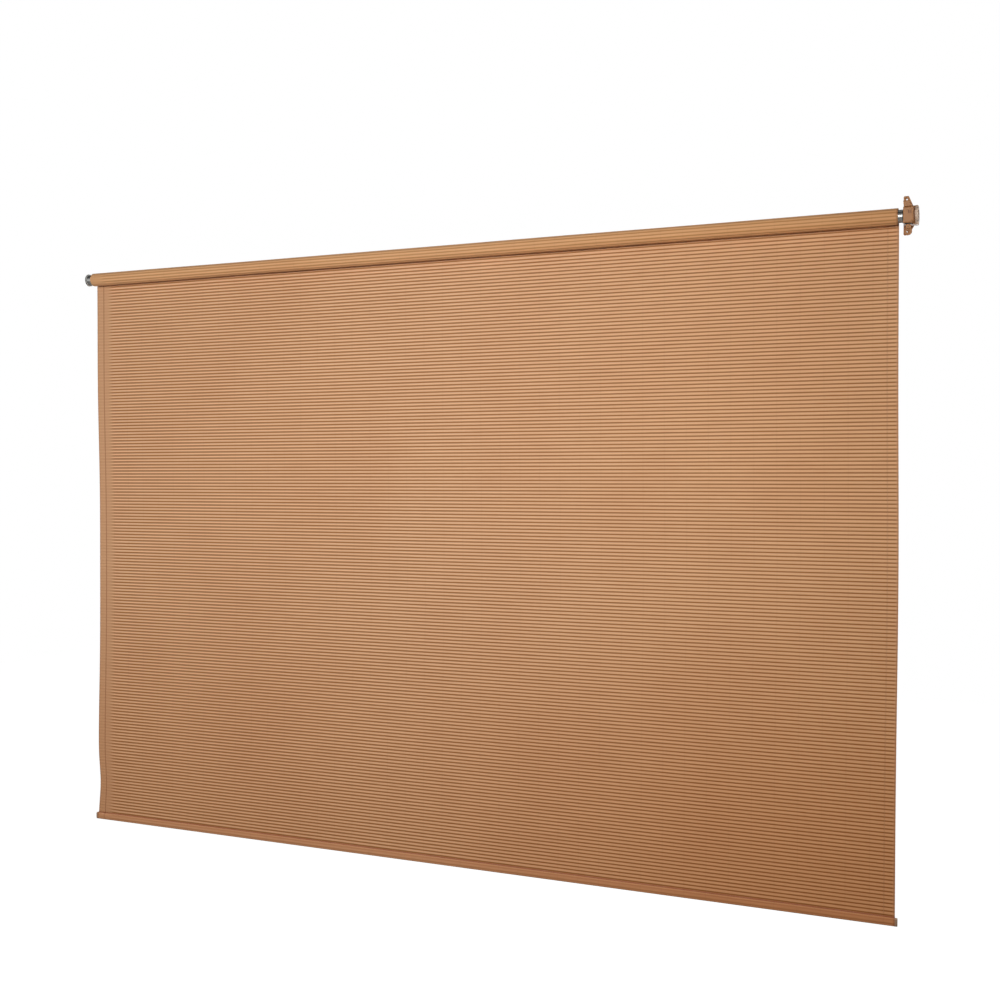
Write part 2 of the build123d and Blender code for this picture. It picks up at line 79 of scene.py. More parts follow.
def feed(node, inputs):
    """Sets a node's inputs: each is a value, an output, or a node, whose first output is taken."""
    for socket, source in inputs.items():
        if isinstance(source, bpy.types.Node):
            source = source.outputs[0]
        if isinstance(source, bpy.types.NodeSocket):
            node.id_data.links.new(source, node.inputs[socket])
        else:
            node.inputs[socket].default_value = source


def add_node(tree, kind, inputs={}, **settings):
    """A shader node with its settings and its inputs."""
    made = tree.nodes.new("ShaderNode" + kind)
    for name, value in settings.items():
        setattr(made, name, value)
    feed(made, inputs)
    return made


def start_finish(name):
    """A new material, its node tree and its shader."""
    made = bpy.data.materials.new(name)
    made.use_nodes = True
    return made, made.node_tree, made.node_tree.nodes["Principled BSDF"]


def dress(finish, *names):
    """Gives CAD nodes a finish in place of the plain one that they come with."""
    for name in names:
        solid = frame["nodes"][name]
        if not solid.material_slots:
            solid.data.materials.append(finish)
        for slot in solid.material_slots:
            slot.material = finish


# Moulded ABS: even satin colour with faint flow clouds, a fine spark-eroded grain and soft edges.
# Its inside corners are darkened with painted shade. The real grain is about 0.1 mm; it is drawn at 0.7 mm so
# that it shows.
abs_crevice_shade = linear("7A4F2E")
abs_crevice_shade_reach = 7 * mm
abs_cloud_size = 22 * mm
abs_grain_size = 0.7 * mm
abs_grain_depth = 0.03 * mm
abs_edge_radius = 0.6 * mm


def moulded_abs(name, colour, cloudy):
    made, tree, shader = start_finish(name)
    place = add_node(tree, "TexCoord").outputs["Object"]
    cloud = add_node(tree, "TexNoise", {"Vector": place, "Scale": 1 / abs_cloud_size, "Detail": 3.0})
    tone = add_node(tree, "MixRGB", {"Fac": cloud, "Color1": linear(colour), "Color2": linear(cloudy)})
    # Painted shade: the colour darkens where nearby faces close the surface in.
    corner = add_node(tree, "AmbientOcclusion", {"Distance": abs_crevice_shade_reach}, samples=8)
    crevice_shade = add_node(tree, "MapRange", {"Value": corner.outputs["AO"], "From Min": 0.35, "From Max": 0.85,
                                       "To Min": 0.8, "To Max": 0.0})
    tone = add_node(tree, "MixRGB", {"Fac": crevice_shade, "Color1": tone, "Color2": abs_crevice_shade}, blend_type="MULTIPLY")
    grain = add_node(tree, "TexNoise", {"Vector": place, "Scale": 1 / abs_grain_size, "Detail": 2.0})
    edge = add_node(tree, "Bevel", {"Radius": abs_edge_radius}, samples=4)
    relief = add_node(tree, "Bump", {"Strength": 0.5, "Distance": abs_grain_depth, "Height": grain,
                                     "Normal": edge})
    gloss = add_node(tree, "MapRange", {"Value": grain, "To Min": 0.46, "To Max": 0.62})
    feed(shader, {"Base Color": tone, "Roughness": gloss, "Normal": relief, "IOR": 1.54,
                  "Specular IOR Level": 0.45})
    return made


dress(moulded_abs("moulded tan ABS", "B47E4C", "A26C3E"), "gear_bracket", "worm_cap", "crank_eye")
dress(moulded_abs("moulded pale tan ABS", "DCC0A8", "CBAF97"), "gear_cover")
dress(moulded_abs("moulded grey-tan ABS", "A5846A", "8F7058"), "hem_cap_left", "hem_cap_right")


# Bushes, gear wheel, drive plug and the spline in the tube: black acetal, moulded and slippery.
# The end plug and its spring seat are the same resin with a greyer pigment; their faces towards the crank are
# painted near white as a highlight.
acetal_patch_size = 12 * mm
acetal_grain_size = 1.2 * mm
acetal_grain_depth = 0.02 * mm


def moulded_acetal(name, colour, rubbed, painted_lit_face):
    """Dense, slightly waxy plastic: low gloss, rubbed patches, and a paler painted highlight on faces towards
    the crank.
    """
    made, tree, shader = start_finish(name)
    place = add_node(tree, "TexCoord").outputs["Object"]
    patch = add_node(tree, "TexNoise", {"Vector": place, "Scale": 1 / acetal_patch_size, "Detail": 4.0})
    tone = add_node(tree, "MixRGB", {"Fac": patch, "Color1": linear(colour), "Color2": linear(rubbed)})
    facing = add_node(tree, "SeparateXYZ", {"Vector": add_node(tree, "NewGeometry").outputs["Normal"]})
    # Painted highlight: faces turned towards the crank take a paler tone.
    painted_lit_share = add_node(tree, "MapRange", {"Value": facing.outputs["X"], "From Min": 0.5, "From Max": 0.9})
    tone = add_node(tree, "MixRGB", {"Fac": painted_lit_share, "Color1": tone, "Color2": linear(painted_lit_face)})
    grain = add_node(tree, "TexNoise", {"Vector": place, "Scale": 1 / acetal_grain_size})
    relief = add_node(tree, "Bump", {"Strength": 0.4, "Distance": acetal_grain_depth, "Height": grain})
    gloss = add_node(tree, "MapRange", {"Value": patch, "To Min": 0.34, "To Max": 0.52})
    feed(shader, {"Base Color": tone, "Roughness": gloss, "Normal": relief, "IOR": 1.48,
                  "Specular IOR Level": 0.2})
    return made


dress(moulded_acetal("black acetal", "1C1C1D", "2B2B2B", "242424"),
      "roller_bush", "worm_bush", "drive_plug", "worm_wheel", "fixing_spline")
dress(moulded_acetal("grey acetal", "2A2A29", "3A3A38", "D8D8D4"), "end_plug", "spring_seat")


# Worm, washer, screws, pins and spring: turned and drawn steel, zinc plated.
# Plating gives a pale grey with a faint bluish spangle; the small pin through the crank eye is blackened.
zinc_spangle_size = 2.5 * mm
zinc_haze_size = 6 * mm


def finished_steel(name, pale, deep):
    made, tree, shader = start_finish(name)
    place = add_node(tree, "TexCoord").outputs["Object"]
    spangle = add_node(tree, "TexVoronoi", {"Vector": place, "Scale": 1 / zinc_spangle_size})
    tone = add_node(tree, "MixRGB", {"Fac": spangle, "Color1": linear(pale), "Color2": linear(deep)})
    haze = add_node(tree, "TexNoise", {"Vector": place, "Scale": 1 / zinc_haze_size, "Detail": 3.0})
    gloss = add_node(tree, "MapRange", {"Value": haze, "To Min": 0.26, "To Max": 0.46})
    feed(shader, {"Base Color": tone, "Roughness": gloss, "Metallic": 1.0})
    return made


zinc_plated = finished_steel("zinc plated steel", "B9BCBF", "9AA0A6")
dress(zinc_plated, "cover_screws", "worm_shaft", "thrust_washer", "idle_pin")
dress(finished_steel("blackened steel", "4A453F", "35312C"), "eye_pin")


# Idle spring: round wire wound into an open coil, between the idle pin's collar and the spring seat.
# The real spring closes up towards the seat as the pin is pushed in; the coil drawn here keeps its shape.
roller_joint = next(j for j in frame["joints"] if j["name"] == "roller_turn")
axis_y = roller_joint["pos_m"][1]
spring_low, spring_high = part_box("idle_spring")
wire_radius = 0.6 * mm
coil_pitch = 3.8 * mm
wire_sides = 8
steps_a_turn = 24


def wind_spring():
    """A tube of wire along the coil, closed at both ends."""
    coil_radius = (spring_high.z - spring_low.z) / 2 - wire_radius
    run = spring_high.x - spring_low.x - 2 * wire_radius
    steps = int(steps_a_turn * run / coil_pitch)
    turn = np.linspace(0, 2 * math.pi * run / coil_pitch, steps)
    flat = np.zeros_like(turn)
    radial = np.stack([flat, np.cos(turn), np.sin(turn)], -1)
    middle = np.stack([spring_low.x + wire_radius + coil_pitch * turn / (2 * math.pi), flat + axis_y, flat], -1)
    middle = middle + coil_radius * radial
    forward = np.stack([flat + coil_pitch / (2 * math.pi), -coil_radius * np.sin(turn),
                        coil_radius * np.cos(turn)], -1)
    side = np.cross(forward / np.linalg.norm(forward, axis=1, keepdims=True), radial)
    around = np.linspace(0, 2 * math.pi, wire_sides, endpoint=False)[None, :, None]
    rings = middle[:, None] + wire_radius * (np.cos(around) * radial[:, None] + np.sin(around) * side[:, None])
    corner = np.arange(steps * wire_sides).reshape(steps, wire_sides)
    after = np.roll(corner, -1, axis=1)
    wall = np.stack([corner[:-1], after[:-1], after[1:], corner[1:]], -1).reshape(-1, 4)
    faces = wall.tolist() + [corner[0, ::-1].tolist(), corner[-1].tolist()]
    mesh = bpy.data.meshes.new("idle_coil")
    mesh.from_pydata(rings.reshape(-1, 3).tolist(), [], faces)
    mesh.shade_smooth()
    mesh.materials.append(zinc_plated)
    coil = bpy.data.objects.new("idle_coil", mesh)
    bpy.context.scene.collection.objects.link(coil)
    return coil


idle_coil = wind_spring()
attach(idle_coil, "roller")
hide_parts("idle_spring")
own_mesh(idle_coil)


# Roller tube and hem bar: aluminium, extruded and left with its mill finish, dulled outdoors.
# Drawing leaves fine lines along the length, which stretch the highlight across the tube.
mill_grey = linear("B2B2AF")
mill_dark = linear("868683")
mill_line_width = 1.6 * mm
mill_line_length = 400 * mm
mill_line_depth = 0.02 * mm
mill_stain_size = 35 * mm


def mill_aluminium():
    made, tree, shader = start_finish("mill finish aluminium")
    place = add_node(tree, "TexCoord").outputs["Object"]
    drawn = add_node(tree, "Mapping", {"Vector": place, "Scale": (mill_line_width / mill_line_length, 1, 1)})
    line = add_node(tree, "TexNoise", {"Vector": drawn, "Scale": 1 / mill_line_width, "Detail": 3.0})
    tone = add_node(tree, "MixRGB", {"Fac": line, "Color1": mill_grey, "Color2": mill_dark})
    stain = add_node(tree, "TexNoise", {"Vector": place, "Scale": 1 / mill_stain_size, "Detail": 4.0})
    gloss = add_node(tree, "MapRange", {"Value": stain, "To Min": 0.24, "To Max": 0.42})
    relief = add_node(tree, "Bump", {"Strength": 0.5, "Distance": mill_line_depth, "Height": line})
    feed(shader, {"Base Color": tone, "Roughness": gloss, "Normal": relief, "Metallic": 1.0})
    return made


dress(mill_aluminium(), "roller_tube", "hem_bar")


# Rolled cloth: the upper end of the sheet, wound two and a half times round the tube.
# The cloth is a warp knit of flat polyethylene yarn with a rib every 9.5 mm, firm but not stiff.
rib_pitch = 9.525 * mm
rib_height = 0.35 * mm
cloth_web = 0.45 * mm
cloth_thickness = cloth_web + 2 * rib_height
turn_gap = 0.1 * mm
rolled_turns = 2.65
rib_phases = (0, 0.1, 0.2, 0.32, 0.5, 0.68, 0.8, 0.9)
groove_half_share = 0.08
crest_start_share = 0.32
cloth_sharp_angle = math.radians(50)


def rib_lift(phase):
    """Height of a rib, from 0 in the groove to 1 on its crest, for a place from groove to groove."""
    from_groove = np.minimum(phase % 1, 1 - phase % 1)
    rise = np.clip((from_groove - groove_half_share) / (crest_start_share - groove_half_share), 0, 1)
    return rise * rise * (3 - 2 * rise)


def cloth_piece(name, outside, inside, across, along, finish):
    """A closed strip of cloth between two grids of points, with UVs in metres across and along it."""
    rows, columns = outside.shape[:2]
    half = rows * columns
    grid = np.arange(half).reshape(rows, columns)
    outer = np.stack([grid[:-1, :-1], grid[1:, :-1], grid[1:, 1:], grid[:-1, 1:]], -1).reshape(-1, 4)
    inner = outer[:, ::-1] + half
    border = np.concatenate([grid[:-1, 0], grid[-1, :-1], grid[:0:-1, -1], grid[0, :0:-1]])
    after = np.roll(border, -1)
    rim = np.stack([after, border, border + half, after + half], -1)
    quads = np.concatenate([outer, inner, rim])
    points = np.concatenate([outside.reshape(-1, 3), inside.reshape(-1, 3)])
    mesh = bpy.data.meshes.new(name)
    mesh.from_pydata(points.tolist(), [], quads.tolist())
    flat = np.stack(np.broadcast_arrays(across[None, :], along[:, None]), -1).reshape(-1, 2)
    flat = np.concatenate([flat, flat])[quads.ravel()]
    mesh.uv_layers.new(name="cloth").data.foreach_set("uv", flat.ravel().astype(np.float32))
    mesh.shade_smooth()
    mesh.set_sharp_from_angle(angle=cloth_sharp_angle)
    mesh.materials.append(finish)
    piece = bpy.data.objects.new(name, mesh)
    bpy.context.scene.collection.objects.link(piece)
    return piece


# Ribbed knit: pale tan ribs of flat yarn with darker, open grooves between them, their darkness partly painted
# shade. Each rib is a chain of loops 3.2 mm long, and every 58 mm a tighter chain shows as a faint line down
# the cloth.
# The loops are too fine to show from a step away, so they only roughen the light. Painted shade makes the cloth
# warmer and darker towards the right and the lower right corner, and darkens the crease above the hem, the side
# seams and the side edges.
loop_length = 3.2 * mm
loop_height = 0.08 * mm
chain_spacing = 58 * mm
chain_depth = 0.10
side_hem_width = 26 * mm
sheet_low, sheet_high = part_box("shade_fabric")
sheet_left, sheet_right = sheet_low.x, sheet_high.x
sheet_width = sheet_right - sheet_left
hanging_length = sheet_high.z - sheet_low.z
rib_count = int(hanging_length // rib_pitch)
rib_margin = (hanging_length - rib_count * rib_pitch) / 2
crease_at = hanging_length - rib_margin


def ribbed_knit(name, crest, groove, seam_shade_depth):
    made, tree, shader = start_finish(name)
    cloth = add_node(tree, "UVMap", uv_map="cloth")
    place = add_node(tree, "SeparateXYZ", {"Vector": cloth})
    across, along = place.outputs["X"], place.outputs["Y"]
    from_edge = add_node(tree, "Math", {0: across, 1: sheet_width / 2}, operation="PINGPONG")
    from_right = add_node(tree, "Math", {0: sheet_width, 1: across}, operation="SUBTRACT")

    # How far it is to a side seam and to the crease above the hem.
    away = {}
    for thing, source, middle in (("seam", from_edge, side_hem_width), ("crease", along, crease_at)):
        offset = add_node(tree, "Math", {0: source, 1: middle}, operation="SUBTRACT")
        away[thing] = add_node(tree, "Math", {0: offset}, operation="ABSOLUTE")

    # Waves, highest in the middle of each groove, tight chain, loop and row of loops.
    wave = {}
    for thing, source, length in (("groove", along, rib_pitch), ("chain", across, chain_spacing),
                                  ("loop", across, loop_length), ("row", along, rib_pitch / 4)):
        turn = add_node(tree, "Math", {0: source, 1: 2 * math.pi / length}, operation="MULTIPLY")
        wave[thing] = add_node(tree, "Math", {0: turn}, operation="COSINE")

    # Uneven yarn and dye: the size of a patch across and along the cloth, and its detail.
    uneven = {}
    for thing, width, length, detail in (("streak", 160 * mm, 2.4 * mm, 2.0), ("dye", 420 * mm, 420 * mm, 2.0),
                                         ("chain", 90 * mm, 140 * mm, 1.0), ("fuzz", 0.9 * mm, 0.9 * mm, 2.0)):
        spread = add_node(tree, "Mapping", {"Vector": cloth, "Scale": (1 / width, 1 / length, 1)})
        uneven[thing] = add_node(tree, "TexNoise", {"Vector": spread, "Scale": 1.0, "Detail": detail})

    # Values that change over the cloth: what they follow, from where to where, and their first and last value.
    # The ribs fade out beside the left side hem, where the cloth is pulled flat.
    fade = {}
    for thing, source, start, end, first, last in (
            ("groove edge", across, 0.4, 2.2, -0.8, -0.2),
            ("crest tone", across, 38 * mm, 66 * mm, 0.36, 0.0),
            ("groove tone", across, 38 * mm, 66 * mm, 0.48, 1.0),
            ("right edge", from_right, 2 * mm, 8 * mm, 0.5, 1.0),
            # Strengths of painted shade: towards the lower right corner and along the side seams.
            ("lower right", across, 0.8, 2.4, 0.38, 0.75),
            ("seam", from_right, 0.0, 1.0, 0.3 * seam_shade_depth, seam_shade_depth),
            ("roughness", uneven["fuzz"], 0.2, 0.8, 0.58, 0.74)):
        fade[thing] = add_node(tree, "MapRange", {"Value": source, "From Min": start, "From Max": end,
                                                  "To Min": first, "To Max": last},
                               interpolation_type="SMOOTHSTEP")

    # Painted shade, in part: the grooves are darker than the open knit alone would make them.
    share = add_node(tree, "MapRange", {"Value": wave["groove"], "From Min": fade["groove edge"],
                                        "From Max": 1.0, "To Min": fade["crest tone"],
                                        "To Max": fade["groove tone"]}, interpolation_type="SMOOTHSTEP")
    share = add_node(tree, "Math", {0: share, 1: fade["right edge"]}, operation="MULTIPLY")
    yarn = add_node(tree, "MixRGB", {"Fac": share, "Color1": linear(crest), "Color2": linear(groove)})
    tight = add_node(tree, "Math", {0: uneven["chain"], 1: chain_depth}, operation="MULTIPLY")

    # Tints over the yarn, in the same order of values as above: streaks, dye, tight chains, painted shade
    # warming the right half, painted shade deepening the lower right corner, painted shade along the side seams
    # and the side edges, and in the crease above the hem.
    for source, start, end, first, last, tint in (
            (uneven["streak"], 0.35, 0.75, 0.0, 0.22, "C9B29C"),
            (uneven["dye"], 0.35, 0.70, 0.0, 0.10, "D9B8A0"),
            (wave["chain"], 0.985, 1.0, 0.0, tight, "8A6A50"),
            # Painted shade from here on: right half, lower right corner, side seams, side edges and the crease
            # above the hem.
            (across, 1.0, sheet_width, 0.0, 0.36, "FFEECA"),
            (along, 0.8, 1.7, 0.0, fade["lower right"], "F0D7BD"),
            (away["seam"], 0.0, 3 * mm, fade["seam"], 0.0, "A0663C"),
            (from_edge, 1.5 * mm, 6 * mm, 0.35, 0.0, "A0744E"),
            (away["crease"], 0.3 * mm, 1.8 * mm, 0.75, 0.0, "AA5A10")):
        share = add_node(tree, "MapRange", {"Value": source, "From Min": start, "From Max": end,
                                            "To Min": first, "To Max": last}, interpolation_type="SMOOTHSTEP")
        yarn = add_node(tree, "MixRGB", {"Fac": share, "Color1": yarn, "Color2": linear(tint)},
                        blend_type="MULTIPLY")

    loops = add_node(tree, "Math", {0: wave["loop"], 1: wave["row"], 2: uneven["fuzz"]},
                     operation="MULTIPLY_ADD")
    relief = add_node(tree, "Bump", {"Strength": 0.5, "Distance": loop_height, "Height": loops})
    feed(shader, {"Base Color": yarn, "Roughness": fade["roughness"], "Normal": relief, "IOR": 1.5,
                  "Specular IOR Level": 0.25, "Sheen Weight": 0.04})
    return made


rolled_knit = ribbed_knit("knit stretched over the roll", "DFAC7D", "BC8856", seam_shade_depth=0.0)

tube_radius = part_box("roller_tube")[1].z
turn_pitch = cloth_thickness + turn_gap
last_turn_radius = tube_radius + turn_gap + rolled_turns * turn_pitch
roll_columns = 61
roll_wander = 0.9 * mm
roll_slack = 0.25 * mm
roll_inset = 6 * mm
roll_taut_angle = 0.8


def wind_roll():
    """Outside and inside of the spiral; the ribs wander a little where the cloth was wound unevenly."""
    rib_angle = rib_pitch / (last_turn_radius + cloth_thickness)
    ribs = int(2 * math.pi * rolled_turns / rib_angle)
    steps = (np.arange(ribs)[:, None] + np.array(rib_phases)).ravel()
    across = np.linspace(roll_inset, sheet_width, roll_columns)
    wave = np.sin(across * 2.1 + 0.4) + 0.6 * np.sin(across * 5.3 + 1.1)
    slack = np.sin(across * 3.7 + 2.0) + 0.7 * np.sin(across * 8.9) - 1.7
    ends = np.sin(math.pi * np.clip(across / sheet_width, 0, 1)) ** 0.5
    angle = steps * rib_angle
    inner = last_turn_radius - turn_pitch * angle / (2 * math.pi)
    easing = np.clip(angle / roll_taut_angle, 0, 1)
    turn = angle[:, None] + (roll_wander * wave * ends / last_turn_radius)[None, :] * easing[:, None]
    inner = inner[:, None] + (roll_slack * slack * ends)[None, :] * easing[:, None]
    outer = inner + cloth_web + rib_height * (1 + rib_lift(steps))[:, None]
    x = np.broadcast_to(sheet_left + across, turn.shape)
    outside = np.stack([x, axis_y + outer * np.cos(turn), outer * np.sin(turn)], -1)
    inside = np.stack([x, axis_y + inner * np.cos(turn), inner * np.sin(turn)], -1)
    return cloth_piece("rolled_cloth", outside, inside, across, steps * rib_pitch, rolled_knit)


rolled_cloth = wind_roll()
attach(rolled_cloth, "roller")
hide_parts("fabric_roll")


# Hanging sheet: the same knit, hanging from the wall side of the roll down to the hem.
# Its side edges are folded to the back and sewn; it sways and curls by a few millimetres.
sheet_knit = ribbed_knit("ribbed polyethylene knit", "E3B38B", "9E6A3B", seam_shade_depth=0.6)
sheet_y = axis_y + last_turn_radius + cloth_thickness / 2
side_hem_layer = 1.1 * mm
edge_columns = (0, 0.7, 2.5, 13, 25.7, 26.3, 45, 80)
middle_columns = 15
edge_radius = 1.0 * mm
fold_back_share = 0.3
sway_left = 7 * mm
sway_right = 3.6 * mm
sway_height = -880 * mm
sway_reach = 330 * mm
corner_pull = 7.8 * mm
corner_height = -1597 * mm
corner_reach = 74 * mm
edge_fade = 90 * mm
edge_curl = 3.5 * mm
belly = 2.5 * mm


def sheet_shift(across, z):
    """How far the sheet stands aside, and towards the wall, at a place: it sways and its edges curl."""
    ends = np.sin(math.pi * np.clip((sheet_high.z - z) / hanging_length, 0, 1))
    near_edge = np.exp(-np.minimum(across, sheet_width - across) / edge_fade)
    near_left = np.exp(-across / edge_fade)
    sway = sway_left + (sway_right - sway_left) * across / sheet_width
    aside = sway * np.exp(-((z - sway_height) / sway_reach) ** 2)
    aside = aside + corner_pull * near_left * np.exp(-((z - corner_height) / corner_reach) ** 2)
    bow = belly * ends * (1 + np.sin(across * 1.9 + 0.5) * np.sin(z * 4.4)) / 2
    curl = edge_curl * near_edge * ends * (1 + np.sin(z * 9.7 + 0.9)) / 2
    return aside, bow + curl


def hang_sheet():
    """Room side and wall side of the sheet, rib by rib from the roll to the hem."""
    steps = (np.arange(rib_count)[:, None] + np.array(rib_phases)).ravel()
    steps = np.concatenate([[-rib_margin / rib_pitch], steps, [rib_count, crease_at / rib_pitch]])
    lift = np.where((steps < 0) | (steps > rib_count), 0, rib_lift(steps))
    z = sheet_high.z - rib_margin - steps * rib_pitch
    edge = np.array(edge_columns) * mm
    middle = np.linspace(edge[-1], sheet_width - edge[-1], middle_columns + 2)[1:-1]
    across = np.concatenate([edge, middle, sheet_width - edge[::-1]])
    from_edge = np.minimum(across, sheet_width - across)
    aside, back_off = sheet_shift(across[None, :], z[:, None])
    x = sheet_left + across[None, :] + aside
    middle_y = sheet_y + back_off
    roundness = np.sqrt(np.clip(1 - (1 - np.clip(from_edge / edge_radius, 0, 1)) ** 2, 0, 1))
    proud = cloth_web / 2 + rib_height * lift
    doubled = (from_edge < side_hem_width)[None, :]
    back = np.where(doubled, cloth_thickness / 2 + side_hem_layer, proud[:, None])
    room_side = middle_y - proud[:, None] * roundness[None, :]
    wall_side = middle_y + back * np.maximum(roundness, fold_back_share)[None, :]
    height = np.broadcast_to(z[:, None], x.shape)
    return cloth_piece("hanging_sheet", np.stack([x, room_side, height], -1),
                       np.stack([x, wall_side, height], -1), across, steps * rib_pitch, sheet_knit)


def wind_up(piece):
    """Gives the piece its own copy of its mesh."""
    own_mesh(piece)


hanging_sheet = hang_sheet()
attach(hanging_sheet, "bracket")
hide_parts("shade_fabric")
wind_up(hanging_sheet)


# Hem: the sheet's lower end, taken round the flat bar and sewn to itself in one row of stitches.
# It is the same knit, pulled smooth over the bar, so its ribs are flattened and hardly show.
hem_knit = ribbed_knit("hem of the same knit", "D09B73", "B8845C", seam_shade_depth=0.3)
hem_low, hem_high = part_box("hem_pocket")
hem_half = (hem_high.y - hem_low.y) / 2
hem_shoulder = 13.6 * mm
hem_seam_half = 1.2 * mm
hem_seam_least = 0.05 * mm
hem_columns = 49
hem_pucker = 0.35 * mm
hem_pucker_reach = 9 * mm


def sew_hem():
    """Outer and inner side of the fold, from the seam down the room side, round and up the wall side."""
    turn = np.linspace(0, math.pi, 13)
    rise = np.linspace(1, 0, 9)
    shoulder = hem_low.z + hem_shoulder

    def side(layer):
        narrow = rise * rise * (3 - 2 * rise)
        half = (hem_half - layer) * (1 - narrow) + max(hem_seam_half - layer, hem_seam_least) * narrow
        flank_z = shoulder + (hem_high.z - shoulder) * rise
        round_y = -(hem_half - layer) * np.cos(turn)
        round_z = hem_low.z + hem_half - (hem_half - layer) * np.sin(turn)
        return (np.concatenate([-half, round_y, half[::-1]]),
                np.concatenate([flank_z, round_z, flank_z[::-1]]))

    across = np.linspace(0, sheet_width, hem_columns)
    outer_y, outer_z = side(0)
    inner_y, inner_z = side(cloth_thickness)
    pucker = hem_pucker * np.sin(across * 41) * np.sin(across * 7.3 + 0.6)
    swell = np.clip(1 - np.abs(outer_z - shoulder) / hem_pucker_reach, 0, 1)

    def laid(y, z):
        out = np.sign(y)[:, None] * pucker[None, :] * swell[:, None]
        x = np.broadcast_to(sheet_left + across, out.shape)
        return np.stack([x, sheet_y + y[:, None] + out, np.broadcast_to(z[:, None], out.shape)], -1)

    run = np.concatenate([[0], np.cumsum(np.hypot(np.diff(outer_y), np.diff(outer_z)))])
    return cloth_piece("hem_sleeve", laid(outer_y, outer_z), laid(inner_y, inner_z), across,
                       crease_at + run, hem_knit)


hem_sleeve = sew_hem()
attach(hem_sleeve, "hem")
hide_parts("hem_pocket")


# Stitches: brown polyester thread, one row down each side hem and one along the hem on both faces.
# Each stitch is a short raised spindle of thread that lies level with the ribs beside it.
stitch_pitch = 5.0 * mm
stitch_length = 4.2 * mm
stitch_full_share = 0.3
thread_radius = 0.55 * mm
thread_flatness = 0.8
thread_colour = linear("A87A50")
thread_worn = linear("B98759")
thread_twist = 0.8 * mm


def spun_thread():
    """Soft, slightly shiny yarn whose twist shows as a fine change of tone."""
    made, tree, shader = start_finish("spun polyester thread")
    place = add_node(tree, "TexCoord").outputs["Object"]
    twist = add_node(tree, "TexNoise", {"Vector": place, "Scale": 1 / thread_twist, "Detail": 2.0})
    tone = add_node(tree, "MixRGB", {"Fac": twist, "Color1": thread_colour, "Color2": thread_worn})
    gloss = add_node(tree, "MapRange", {"Value": twist, "To Min": 0.5, "To Max": 0.7})
    feed(shader, {"Base Color": tone, "Roughness": gloss, "IOR": 1.55, "Sheen Weight": 0.2})
    return made


thread = spun_thread()


def sew(name, middles, along, out):
    """A row of stitches at given points; along and out are the seam's direction and the cloth's face."""
    middles = np.asarray(middles, float)
    along = np.asarray(along, float)
    out = np.asarray(out, float)
    side = np.cross(along, out)
    ring = [thread_flatness * out, side, -thread_flatness * out, -side]
    spindle = [-along * stitch_length / 2]
    for place in (-stitch_full_share, stitch_full_share):
        spindle += [along * stitch_length * place + thread_radius * r for r in ring]
    spindle += [along * stitch_length / 2]
    faces = [(0, 1 + (k + 1) % 4, 1 + k) for k in range(4)]
    faces += [(1 + k, 1 + (k + 1) % 4, 5 + (k + 1) % 4, 5 + k) for k in range(4)]
    faces += [(9, 5 + k, 5 + (k + 1) % 4) for k in range(4)]
    points = (middles[:, None, :] + np.array(spindle)[None]).reshape(-1, 3)
    turns = [tuple(i + len(spindle) * n for i in face) for n in range(len(middles)) for face in faces]
    mesh = bpy.data.meshes.new(name)
    mesh.from_pydata(points.tolist(), [], turns)
    mesh.shade_smooth()
    mesh.materials.append(thread)
    piece = bpy.data.objects.new(name, mesh)
    bpy.context.scene.collection.objects.link(piece)
    return piece


def side_stitches():
    """Places of the stitches down both side hems, sunk level with the swaying sheet's crests."""
    count = int((hanging_length - 2 * stitch_pitch) / stitch_pitch)
    z = sheet_high.z - stitch_pitch * (1 + np.arange(count))
    places = []
    for across in (side_hem_width, sheet_width - side_hem_width):
        aside, back_off = sheet_shift(across, z)
        y = sheet_y + back_off - cloth_thickness / 2 + thread_flatness * thread_radius
        places.append(np.stack([sheet_left + across + aside, y, z], -1))
    return np.concatenate(places)


side_seams = sew("side_hem_stitches", side_stitches(), (0, 0, 1), (0, -1, 0))
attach(side_seams, "bracket")
wind_up(side_seams)

seam_drop = 2.6 * mm
seam_proud = 0.9 * mm
seam_x = np.arange(sheet_left + stitch_pitch, sheet_right - stitch_pitch / 2, stitch_pitch)
for face, sign in (("room", -1), ("wall", 1)):
    seam_y = sheet_y + sign * (hem_seam_half + seam_proud)
    row = np.stack([seam_x, np.full_like(seam_x, seam_y), np.full_like(seam_x, hem_high.z - seam_drop)], -1)
    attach(sew(f"hem_stitches_{face}", row, (1, 0, 0), (0, sign, 0)), "hem")


# Studio: a pale floor well below the hem, white walls under a dark ceiling, one long softbox in front of
# the shade, turned down to the left so that the light falls off towards the lower right corner,
# and weaker ones behind it, above it and in line with its two ends for the other sides.
floor_drop = 950 * mm
floor_half = 9.0
floor_paint = linear("9A9A98")
floor_seen = 0.97
floor_mirrored = 0.25
room_light = 0.10
ceiling_mirrored = 0.10
softbox_power = 75.5
softbox_size = (4.2, 0.31)
softbox_place = Vector((-1.76, -2.45, 0.02))
softbox_aim = Vector((-2.36, -0.03, -1.47))
back_power = 48
back_size = (3.0, 1.0)
back_place = Vector((-1.24, 2.60, -0.50))
back_aim = Vector((-1.24, 0.0, -0.86))
top_power = 5
top_size = (2.6, 0.4)
top_place = Vector((-1.24, 0.35, 1.90))
top_aim = Vector((-1.24, -0.05, 0.0))
side_power = 25
side_size = (0.4, 1.2)
side_distance = Vector((2.2, 0.0, 0.0))
side_height = -0.25


